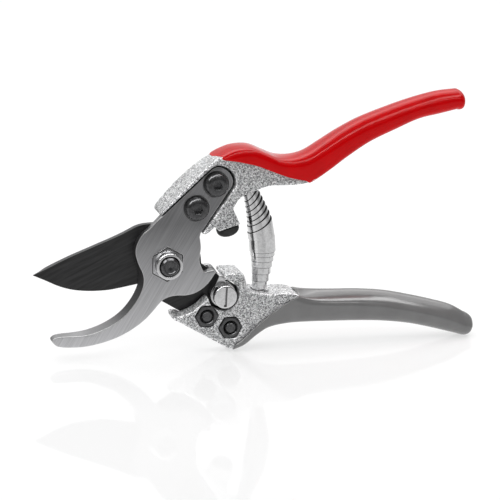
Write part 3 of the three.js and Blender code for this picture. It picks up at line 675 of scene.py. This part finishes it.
def build_pivot_nut():
    """Hexagon base under a round collar with a rolled rim."""
    shell = Shell()
    shape = hexagon((0, 0), NUT_FLATS, turn=30)
    depths = corner_depths(shape, (0, 0), NUT_FLATS / 2 * NUT_FACE, NUT_FRONT, 0.3)
    profile = [(NUT_BORE, -8.4), (4.45, -8.8), (4.75, -9)]
    profile += [(5.35 + 0.55 * math.sin(a), -8.45 - 0.55 * math.cos(a))
                for a in np.radians(range(0, 91, 15))]
    profile += [(5.9, NUT_FRONT - 0.2), (6.05, NUT_FRONT)]
    rings = [shell.ring(circle((0, 0), radius, RING, 30), y) for radius, y in profile]
    shell.wall(rings)
    base = [rings[-1], shell.ring(shape, depths), shell.ring(shape, NUT_BACK),
            shell.ring(circle((0, 0), NUT_BORE, RING, 30), NUT_BACK)]
    shell.wall([*base, rings[0]], 1)
    piece("pivot_nut_collared", shell, ["bright", "brushed"], "pivot_nut", smooth_below=32)


def build_pivot_bolt():
    shell = Shell()
    head_front, head_back = 4.1, 7.7
    rings = lathe(shell, (0, 0), [
        (0.45, -9.55), (0.8, -9.75), (2.5, -9.75), (2.75, -10), (3.35, -10), (4, -9.3),
        (4, head_front), (7.5, head_front), (7.6, head_front + 0.15),
        (7.6, head_back - 0.9), (7.35, head_back - 0.35), (6.8, head_back)])
    shell.fan(rings[0], (0, -9.45, 0))
    socket(shell, (0, 0), rings[-1], head_back, 5, 2.3, -1)
    piece("pivot_bolt_turned", shell, ["oxide"], "pivot_bolt", smooth_below=35)


def build_pivot_washer():
    shell = Shell()
    rings = lathe(shell, (0, 0), [(4.3, 3.3), (8.5, 3.3), (8.6, 3.4), (8.6, 3.7), (8.5, 3.8),
                                  (4.3, 3.8)])
    shell.wall([rings[-1], rings[0]])
    piece("pivot_washer_turned", shell, ["bright"], "pivot_washer", smooth_below=35)


# ---- castings
CAST_VOXEL = 0.34
UNEVEN_SCALE, UNEVEN_DEPTH = 900, 0.00004
TANG_SLIMMING, TANG_SLIMMED_OVER = 0.38, 6


def slim_tang(points, handle):
    """Draws the core of a handle in, clear of the crowned skin of its grip."""
    middles = (np.array(handle["top"]) + np.array(handle["bottom"])) / 2
    origin = np.array(PIVOT)
    local = (points - origin) / MM
    inside = np.clip((local[:, 0] - handle["tang_from"]) / TANG_SLIMMED_OVER, 0, 1)
    centre = np.stack([local[:, 0], np.full(len(local), MIDDLE),
                       np.interp(local[:, 0], middles[:, 0], middles[:, 1])], axis=1)
    local += (centre - local) * TANG_SLIMMING * inside[:, None]
    points[:] = origin + local * MM


def build_casting(name, node, tang=None):
    """The cast body with its edges softened and a slightly uneven skin. tang is the handle
    whose grip hides a core that has to be slimmed."""
    source = frame["nodes"][node].data.copy()
    source.materials.clear()
    work = bpy.data.objects.new(name, source)
    bpy.context.scene.collection.objects.link(work)
    remesh = work.modifiers.new("voxels", "REMESH")
    remesh.mode = "VOXEL"
    remesh.voxel_size = CAST_VOXEL * MM
    soften = work.modifiers.new("soften", "SMOOTH")
    soften.factor = 0.5
    soften.iterations = 22
    bpy.context.view_layer.update()
    mesh = bpy.data.meshes.new_from_object(
        work.evaluated_get(bpy.context.evaluated_depsgraph_get()))
    bpy.data.objects.remove(work)
    mesh.name = name
    mesh.materials.clear()
    mesh.materials.append(finishes["cast"])
    count = len(mesh.vertices)
    points = np.empty(count * 3)
    normals = np.empty(count * 3)
    mesh.vertices.foreach_get("co", points)
    mesh.vertices.foreach_get("normal", normals)
    points, normals = points.reshape(-1, 3), normals.reshape(-1, 3)
    heights = np.array([noise.noise(Vector(p) * UNEVEN_SCALE) for p in points])
    points += normals * heights[:, None] * UNEVEN_DEPTH
    if tang is not None:
        slim_tang(points, tang)
    mesh.vertices.foreach_set("co", points.ravel())
    mesh.update()
    finished(name, mesh, [node], 180, False)


# ---- grips
# Each handle: smooth guides along its top and its bottom, from the mouth to the closed end;
# where the coat starts, as (share of the way down, station of the guides); how far the closed
# end bulges out; how far the edges of the top drop under its middle, and from which station;
# and the X from which the core inside is slimmed.
UPPER = {
    "top": [(20.4, 45.2), (24.4, 47.7), (30, 49.7), (37, 49.8), (43.5, 47.2), (49, 45),
            (55.5, 44.6), (62, 46.2), (69, 50.4), (76.5, 55.1), (86, 60), (98, 64.5),
            (110, 68.3), (121, 70.9), (130, 71.7)],
    "bottom": [(27, 31), (31.5, 30.4), (36.5, 30.8), (41.5, 31.9), (46.5, 32), (52, 31.8),
               (58.5, 32), (63.5, 33.2), (71.5, 38), (80, 43.9), (90, 50), (101.5, 55),
               (112, 59.2), (121.5, 61.1), (129.5, 62.8)],
    "mouth": [(0, 0), (0.02, 0.56), (0.13, 1.14), (0.25, 1.8), (0.35, 2.42), (0.45, 3.22),
              (0.5, 4.2), (0.58, 4.98), (0.66, 5.5), (0.72, 5.88), (0.8, 6.4), (1, 6.8)],
    "end": (3.4, -1),
    "crown": 0.4,
    "mouth_station": 0,
}
LOWER = {
    "top": [(35, -13.6), (41, -14.6), (47.5, -15.4), (53, -14.8), (60, -15.4), (68, -16),
            (76, -16.4), (88, -16.9), (100, -18.2), (112, -20.8), (122, -23.4), (131, -26.2),
            (137.5, -29.8)],
    "bottom": [(29.5, -40), (34.6, -38.1), (40, -33.9), (45.5, -30.8), (53.5, -29.5),
               (62, -29.4), (72, -29.8), (85, -30.4), (97, -31.3), (109, -33),
               (118.5, -35.2), (127, -37.6), (134, -39.6)],
    "mouth": [(0, 3.9), (0.13, 3.7), (0.22, 3.5), (0.37, 3.16), (0.5, 2.7), (0.57, 2.2),
              (0.67, 1.62), (0.75, 1.1), (0.82, 0.78), (0.88, 0.48), (0.92, 0.1), (1, 0)],
    "end": (5.6, -2.4),
    "crown": 3.4,
    "mouth_station": 3.6,
    "tang_from": 58.5,
}
COAT = 0.9
GRIP_HALF_DEPTH, END_HALF_DEPTH = 8.9, 6.9
ROOT_SQUARENESS, END_SQUARENESS = 9, 2.2
GRIP_RING = 96
CROWN_OVER = 1.8  # stations in which the drop of the top's edges grows to its full amount
INNER_LOOPS, OUTER_LOOPS = 30, 110
INNER_SHORT = 0.6  # stations by which the coat's inside ends before its outside
LIP = 0.13  # stations from the mouth's edge to where the coat has its full thickness


def along_guide(guide, station):
    """Point of a smooth guide at a station, which counts its points from 0."""
    i = min(int(station), len(guide) - 2)
    return Vector(spline_point(guide, i, station - i))


def reach_of(angle, squareness):
    """How far out a unit rounded square reaches at an angle."""
    total = abs(math.cos(angle)) ** squareness + abs(math.sin(angle)) ** squareness
    return total ** (-1 / squareness)


def section_point(handle, angle, station_of, depth_in, shrink=1.0, push=0.0):
    """Point of the skin at an angle round its section, depth_in under the surface. station_of
    gives the station for a share of the way down; shrink and push close the end."""
    stations = len(handle["top"]) - 1
    from_top = (1 - math.sin(angle) * reach_of(angle, ROOT_SQUARENESS)) / 2
    station = min(stations, station_of(from_top))
    part = station / stations
    top = along_guide(handle["top"], station)
    bottom = along_guide(handle["bottom"], station)
    centre = (top + bottom) / 2
    up = (top - bottom) / 2
    half_height = up.length - depth_in
    up.normalize()
    squareness = END_SQUARENESS + (ROOT_SQUARENESS - END_SQUARENESS) * (1 - part) ** 2
    half_depth = (GRIP_HALF_DEPTH + (END_HALF_DEPTH - GRIP_HALF_DEPTH) * part ** 2) - depth_in
    reach = reach_of(angle, squareness) * shrink
    across = math.cos(angle) * reach * half_depth
    rise = math.sin(angle) * reach * half_height
    if rise > 0:
        past_mouth = min(1, max(0, station - handle["mouth_station"]) / CROWN_OVER)
        grown = 1 - (1 - past_mouth) ** 2
        rise -= handle["crown"] * grown * abs(across / half_depth) ** 1.3 * rise / half_height
    return (centre.x + up.x * rise + handle["end"][0] * push, MIDDLE + across,
            centre.y + up.y * rise + handle["end"][1] * push)


def grip_ring(handle, station_of, depth_in=0.0, shrink=1.0, push=0.0):
    ring = []
    for j in range(GRIP_RING):
        even = (j + 0.5) * 2 * math.pi / GRIP_RING
        angle = even + 0.12 * math.sin(4 * even)  # closer together round the corners
        ring.append(section_point(handle, angle, station_of, depth_in, shrink, push))
    return ring


def build_grip(name, handle, node, finish):
    """The coat, from its closed end inside, round the lip of its mouth and back outside."""
    shares, starts = zip(*handle["mouth"])
    last = len(handle["top"]) - 1

    def mouth(share):
        return float(np.interp(share, shares, starts))

    shell = Shell()
    loops = []
    inner_last = last - INNER_SHORT
    for i in range(INNER_LOOPS, -1, -1):
        loops.append(grip_ring(
            handle, lambda f: mouth(f) + (inner_last - mouth(f)) * i / INNER_LOOPS, COAT))
    for turn in (20, 40, 60, 80):
        a = math.radians(turn)
        loops.append(grip_ring(handle, lambda f: mouth(f) + LIP * (1 - math.cos(a)),
                               COAT * (1 - math.sin(a))))
    for i in range(OUTER_LOOPS + 1):
        t = i / OUTER_LOOPS
        loops.append(grip_ring(
            handle, lambda f: mouth(f) + LIP + (last - mouth(f) - LIP) * t))
    for turn in range(8, 90, 9):
        a = math.radians(turn)
        loops.append(grip_ring(handle, lambda f: last, 0, math.cos(a) ** 0.5, math.sin(a)))
    rings = [shell.loop(points) for points in loops]
    shell.wall(rings)
    for ring in (rings[0], rings[-1]):
        middle = np.mean([shell.points[i] for i in ring], axis=0)
        shell.fan(ring, tuple(middle))
    piece(name, shell, [finish], node, smooth_below=180, weighted=False)


# ---- bumper
def build_bumper():
    foot = Vector((27.6, 1.75, 14.4))
    axis = Vector((0.28, 0, -0.96)).normalized()
    side = Vector((0, 1, 0))
    across = axis.cross(side)
    profile = [(1.7, -6), (1.8, -5.8), (1.8, 0.3), (4.9, 0.3), (5, 0.45), (5, 1.6), (4.86, 2.3),
               (4.5, 2.95), (3.9, 3.55), (3.1, 4.05), (2.1, 4.4), (1, 4.58)]
    shell = Shell()
    rings = []
    for radius, height in profile:
        rings.append(shell.loop([
            foot + axis * height + (across * math.cos(a) + side * math.sin(a)) * radius
            for a in (2 * math.pi * i / 48 for i in range(48))]))
    shell.wall(rings)
    shell.fan(rings[0], tuple(foot - axis * 6))
    shell.fan(rings[-1], tuple(foot + axis * 4.6))
    piece("bumper_cap", shell, ["rubber"], "bumper", smooth_below=50)


# ---- catch
def arc(at, radius, start, end, count):
    return [(at[0] + radius * math.cos(a), at[1] + radius * math.sin(a))
            for a in np.radians(np.linspace(start, end, count))]


TOOTH_ANGLE, LEVER_ANGLE, SLOT_ANGLE = 103, 122, 88
COLLAR_RADIUS, TOOTH_REACH, TOOTH_HEEL = 5.6, 8.7, 5.9


def build_catch():
    """Collar with a tooth in front, a shaft through the tool and a lever behind."""
    shell = Shell()
    front, back = HOOK_FRONT + 0.1, -0.3
    heel = math.radians(TOOTH_ANGLE + 22)
    shape = [*arc(CATCH, COLLAR_RADIUS, TOOTH_ANGLE + 30, TOOTH_ANGLE + 330, 48),
             *arc(CATCH, TOOTH_REACH, TOOTH_ANGLE - 8.6, TOOTH_ANGLE, 6),
             (CATCH[0] + TOOTH_HEEL * math.cos(heel), CATCH[1] + TOOTH_HEEL * math.sin(heel))]
    rings = shell.edge(shape, front, 1, 0.3, 2)
    rings.append(shell.ring(shape, back))
    lever_front, lever_back, pad_back = 3.6, 5.6, 8.5
    bore = lathe(shell, CATCH, [(2.35, front), (2.1, front + 0.3), (2.1, 5)])
    neck = lathe(shell, CATCH, [(3, back), (3, lever_front)])
    shell.wall(rings)
    shell.cap(rings[0], bore[0])
    shell.cap(rings[-1], neck[0])

    way = Vector((math.cos(math.radians(LEVER_ANGLE)), math.sin(math.radians(LEVER_ANGLE))))
    side = Vector((-way.y, way.x))

    def at(distance, offset):
        return tuple(Vector(CATCH) + way * distance + side * offset)

    lever = [*arc(CATCH, 4.6, LEVER_ANGLE + 90, LEVER_ANGLE + 270, 20),
             *smooth([at(0, -4.6), at(5, -3.6), at(11, -3.2), at(12.6, -1.8), at(13, 0),
                      at(12.6, 1.8), at(11, 3.2), at(5, 3.6), at(0, 4.6)], 5)[:-1]]
    flat = shell.edge(lever, lever_front, 1, 0.25, 2)
    top = shell.edge(lever, lever_back, -1, 0.35, 3)
    shell.wall(flat)
    shell.wall([flat[-1], top[-1]])
    shell.wall(top)
    shell.cap(flat[0], neck[-1])
    pad = smooth([at(6.9, 0), at(7.1, -2.4), at(8.4, -2.9), at(11, -2.8), at(12.3, -1.6),
                  at(12.6, 0), at(12.3, 1.6), at(11, 2.8), at(8.4, 2.9), at(7.1, 2.4),
                  at(6.9, 0)], 4)
    foot = shell.ring(pad, lever_back)
    shell.cap(top[0], foot)
    pad_top = shell.edge(inset(pad, 0.15), pad_back, -1, 0.6, 3)
    shell.wall([foot, pad_top[-1]])
    shell.wall(pad_top)
    shell.cap(pad_top[0])
    shell.cap(bore[-1])
    piece("thumb_catch_lever", shell, ["bright"], "thumb_catch", smooth_below=40)


def build_catch_screw():
    shell = Shell()
    head_front, head_back, face_radius = -9.0, -5.2, 4.7
    slot, slot_depth = 0.65, 1.6
    rings = lathe(shell, CATCH, [(face_radius, head_front), (4.95, head_front + 0.12),
                                 (5.08, head_front + 0.35), (5.1, head_front + 0.6),
                                 (5.1, head_back), (1.8, head_back), (1.8, 4.1), (1.3, 4.6)])
    shell.cap(rings[-1])
    cut = math.radians(SLOT_ANGLE)
    along = Vector((math.cos(cut), math.sin(cut)))
    aside = Vector((-along.y, along.x))
    reach = math.sqrt(face_radius ** 2 - slot ** 2) - 0.35
    middle = Vector(CATCH)
    corners = [tuple(middle + along * a + aside * b) for a, b in (
        (reach, slot), (reach, -slot), (-reach, -slot), (-reach, slot))]
    mouth = shell.ring(corners, head_front)
    floor = shell.ring(corners, head_front + slot_depth)
    shell.cap(rings[0], mouth)
    shell.wall([mouth, floor], 1)
    shell.cap(floor)
    piece("catch_screw_slotted", shell, ["bright", "ground"], "catch_screw", smooth_below=35)


# ---- spring
SPRING_LINE = [(42.7, -16.4), (42.8, -13.5), (43.3, -9), (43.7, -3), (43.8, 3), (43.3, 9),
               (42, 16), (40.1, 22.4), (37.9, 28.7), (36.6, 32.4)]
BAND_RADIUS = 5.95
# Each cone: edge of the plain band, first and later rise of a turn, how that grows, turns, loss
# of radius in a turn, strip thickness, lean of the turns towards +X, and the edge's bevel.
CONES = {
    -1: (19.0, 1.7, 2.0, 0.162, 7, 0.4, 0.34, -0.3, 0.2),
    1: (31.2, 3.5, 2.12, 0.036, 8, 0.36, 0.26, 1.6, 0.38),
}
STEPS_PER_TURN = 40


def build_spring():
    """Strip wound into two cones that nest inside a plain middle band."""
    line = smooth(SPRING_LINE, 24)
    line.insert(0, SPRING_LINE[0])
    steps = [0.0]
    for a, b in zip(line, line[1:]):
        steps.append(steps[-1] + math.dist(a, b))
    xs, zs = zip(*line)

    def at(distance, radius, angle):
        distance = min(max(distance, 0), steps[-1])
        x, z = np.interp(distance, steps, xs), np.interp(distance, steps, zs)
        x2, z2 = np.interp(distance + 0.5, steps, xs), np.interp(distance + 0.5, steps, zs)
        x1, z1 = np.interp(distance - 0.5, steps, xs), np.interp(distance - 0.5, steps, zs)
        way = Vector((x2 - x1, z2 - z1)).normalized()
        return (x + way.y * radius * math.cos(angle), MIDDLE + radius * math.sin(angle),
                z - way.x * radius * math.cos(angle))

    shell = Shell()
    root = (CONES[-1][0] + CONES[1][0]) / 2
    for sense, (edge, first, later, growth, turns, loss, strip, lean, bevel) in CONES.items():
        loops = []
        for i in range(turns * STEPS_PER_TURN + 1):
            turn = i / STEPS_PER_TURN
            angle = 2.1 + sense * 2 * math.pi * turn
            outer = BAND_RADIUS - loss * turn
            past = max(turn - 1, 0)
            rise = first * min(turn, 1) + later * past + growth * past ** 2
            rim = edge + sense * (rise - first / 2) + lean * math.cos(angle)
            loops.append([at(root, outer, angle), at(rim - sense * bevel, outer, angle),
                          at(rim, outer - strip * 0.5, angle), at(rim, outer - strip, angle),
                          at(root, outer - strip, angle)])
        rings = [shell.loop(points) for points in loops]
        corners = len(rings[0])
        for a, b in zip(rings, rings[1:]):
            for k in range(corners):
                m = (k + 1) % corners
                shell.faces.append((a[k], a[m], b[m], b[k]))
                shell.looks.append(1 if k in (1, 2) else 0)  # the bevel and rim are sheared, and also painted dark as shade of the gaps between turns
        shell.faces += [tuple(rings[0]), tuple(rings[-1])]
        shell.looks += [0, 0]
    mesh = skin("volute_spring_strip", shell, ["bright", "sheared_painted_shade"])
    made = finished("volute_spring_strip", mesh, ["volute_spring"], 12, False, rides=False)
    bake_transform(made)


# ---- small CAD nodes kept
def soften_node(node, finish):
    kept = frame["nodes"][node]
    kept.data.materials.clear()
    kept.data.materials.append(finishes[finish])
    rounded = kept.modifiers.new("rounded", "BEVEL")
    rounded.width = 0.12 * MM
    rounded.segments = 2
    rounded.limit_method = "ANGLE"
    rounded.angle_limit = math.radians(40)


build_hook()
build_blade()
build_fasteners()
build_pivot_nut()
build_pivot_bolt()
build_pivot_washer()
build_casting("upper_casting", "upper_handle_casting")
build_casting("lower_casting", "lower_handle_casting", tang=LOWER)
build_grip("red_grip", UPPER, "upper_grip", "red")
build_grip("grey_grip", LOWER, "lower_grip", "grey")
build_bumper()
build_catch()
build_catch_screw()
build_spring()
soften_node("pivot_bushing", "bronze")
soften_node("catch_washer", "bright")


# ---- studio
def stage_sheet(name, low, high, height, material):
    mesh = bpy.data.meshes.new(name)
    mesh.from_pydata([(low[0], low[1], 0), (high[0], low[1], 0), (high[0], high[1], 0),
                      (low[0], high[1], 0)], [], [(0, 1, 2, 3)])
    mesh.materials.append(material)
    sheet = bpy.data.objects.new(name, mesh)
    bpy.context.scene.collection.objects.link(sheet)
    sheet.location.z = height
    return sheet


FLOOR_HALF, FLOOR_HEIGHT, MIRRORED_HEIGHT = 6, -0.0002, -0.0003
# Brightness of the table as metal mirrors it, from the front to under the tool.
TABLE_TONES = [(0.0, 0.25), (0.35, 0.4), (0.75, 0.7), (1.0, 0.9)]


def build_floor():
    """White paper with a faint sheen."""
    paper, nodes = new_material("white floor")
    mottle = noise_of(nodes, nodes.add("TexCoord").outputs["Object"], 4, 2.0)
    # the lamps light the middle of the paper, so far off it glows more
    away = nodes.add("VectorMath", {0: nodes.add("NewGeometry").outputs["Position"]},
                     operation="LENGTH")
    lit = nodes.spread(away.outputs["Value"], 0.67, 0.95, since=0.7, until=2.6)
    matt = nodes.add("BsdfPrincipled", {
        "Base Color": nodes.ramp(mottle, [(0.3, 0.4), (0.7, 0.42)]), "Roughness": 0.9,
        "Specular IOR Level": 0.0, "Emission Color": (1, 1, 1, 1),
        "Emission Strength": lit})
    sheen = nodes.add("BsdfAnisotropic", {"Color": (1, 1, 1, 1), "Roughness": 0.04})
    mixed = nodes.add("MixShader", {
        "Fac": 0.13, 1: matt.outputs["BSDF"], 2: sheen.outputs["BSDF"]})
    nodes.add("OutputMaterial", {"Surface": mixed.outputs["Shader"]})
    floor = stage_sheet("floor", (-FLOOR_HALF, -FLOOR_HALF), (FLOOR_HALF, FLOOR_HALF),
                        FLOOR_HEIGHT, paper)
    floor.visible_glossy = False


def build_mirrored_table():
    """What polished metal sees of the table: duller towards the front on the left, and even on
    the right."""
    glow, nodes = new_material("table as mirrored")
    place_on = nodes.add("TexCoord").outputs["Object"]
    axes = nodes.add("SeparateXYZ", {"Vector": place_on}).outputs
    share = nodes.spread(axes["Y"], since=-0.4, until=0.0)
    side = nodes.spread(axes["X"], since=0.04, until=0.08)
    light = nodes.add("MixRGB", {"Fac": side, "Color1": nodes.ramp(share, TABLE_TONES),
                                 "Color2": (0.72, 0.72, 0.72, 1)})
    emission = nodes.add("Emission", {"Color": light.outputs["Color"], "Strength": 1.0})
    nodes.add("OutputMaterial", {"Surface": emission.outputs["Emission"]})
    mirrored = stage_sheet("mirrored_table", (-0.1, -0.4), (0.45, 0.3), MIRRORED_HEIGHT, glow)
    mirrored.visible_camera = False
    mirrored.visible_diffuse = False
    mirrored.visible_shadow = False


def area_light(name, location, target, size, energy):
    data = bpy.data.lights.new(name, "AREA")
    data.shape = "RECTANGLE"
    data.size, data.size_y = size
    data.energy = energy
    light = bpy.data.objects.new(name, data)
    bpy.context.scene.collection.objects.link(light)
    light.location = location
    light.rotation_euler = (Vector(target) - Vector(location)).to_track_quat(
        "-Z", "Y").to_euler()
    light.visible_camera = False
    return light


# Brightness round the horizon, by degrees from +Y towards +X: a white backdrop behind, dim
# sides, a black board and a light panel on the left, and a grey room in front.
AROUND = [(-180, 0.5), (-150, 0.5), (-132, 0.45), (-120, 0.9), (-94, 0.9), (-87, 0.02),
          (-70, 0.02), (-62, 0.2), (-38, 0.25), (-28, 1.0), (0, 1.0), (32, 1.0), (44, 0.5),
          (75, 0.35), (105, 0.3), (130, 0.35), (160, 0.5), (180, 0.5)]


def build_world():
    """White to the camera, and a photo studio to the object."""
    world = bpy.data.worlds.new("studio")
    bpy.context.scene.world = world
    world.use_nodes = True
    nodes = Nodes(world.node_tree)
    direction = nodes.add("TexCoord").outputs["Generated"]
    axes = nodes.add("SeparateXYZ", {"Vector": direction}).outputs
    turn = nodes.add("Math", {0: axes["X"], 1: axes["Y"]}, operation="ARCTAN2")
    around = nodes.spread(turn.outputs["Value"], since=-math.pi, until=math.pi)
    ring = nodes.ramp(around, [((a + 180) / 360, v) for a, v in AROUND])
    height = nodes.spread(axes["Z"], since=-1)
    backward = nodes.add("VectorMath", {0: direction, 1: (0.35, 1, 0)}, operation="DOT_PRODUCT")
    depth = nodes.spread(backward.outputs["Value"], since=-1)
    # from straight down, over the horizon at 0.5, to overhead
    back = nodes.ramp(height, [
        (0.0, 0.8), (0.45, 1.0), (0.6, 0.95), (0.72, 0.72), (0.79, 0.3)])
    front = nodes.ramp(height, [
        (0.0, 1.0), (0.48, 1.0), (0.52, 0.16), (0.64, 0.2), (0.75, 0.8), (0.9, 1.0)])
    behind = nodes.ramp(depth, [(0.4, 0.0), (0.6, 1.0)])
    level = nodes.add("MixRGB", {"Fac": behind, "Color1": front, "Color2": back})
    sides = nodes.add("MixRGB", {"Fac": 1.0, "Color1": ring, "Color2": level.outputs["Color"]},
                      blend_type="MULTIPLY")
    zenith = nodes.ramp(height, [(0.84, 0.0), (0.9, 1.0)])
    dome = nodes.add("MixRGB", {"Fac": zenith, "Color1": sides.outputs["Color"],
                                "Color2": (0.25, 0.25, 0.25, 1)})
    seen = nodes.add("LightPath").outputs["Is Camera Ray"]
    colour = nodes.add("MixRGB", {"Fac": seen, "Color1": dome.outputs["Color"],
                                  "Color2": (1, 1, 1, 1)})
    background = nodes.add("Background", {"Color": colour.outputs["Color"], "Strength": 1.0})
    nodes.add("OutputWorld", {"Surface": background.outputs["Background"]})


build_floor()
build_mirrored_table()
build_world()
strip = area_light("back strip", (0.2, 0.55, 0.85), (0, 0, 0.05), size=(1.8, 0.45), energy=5)
strip.visible_diffuse = False
area_light("back fill", (0.15, 0.75, 0.72), (0, 0, 0.05), size=(1.8, 0.36), energy=2.5)
area_light("front soft", (-0.1, -0.5, 0.85), (0, 0, 0.04), size=(1.2, 0.12), energy=2.2)
ridge = area_light("ridge light", (0.12, -0.25, 0.95), (0, 0, 0.04), size=(1.4, 0.26), energy=7)
ridge.visible_diffuse = False
edge = area_light("edge light", (-0.62, -0.32, 0.7), (0, 0, 0.05), size=(0.3, 0.5), energy=3)
edge.visible_diffuse = False
broad = area_light("overhead broad", (0.0, 0.25, 1.2), (0, 0.1, 0), size=(2.4, 1.3), energy=13)
broad.visible_glossy = False
bpy.context.scene.view_settings.view_transform = "Standard"
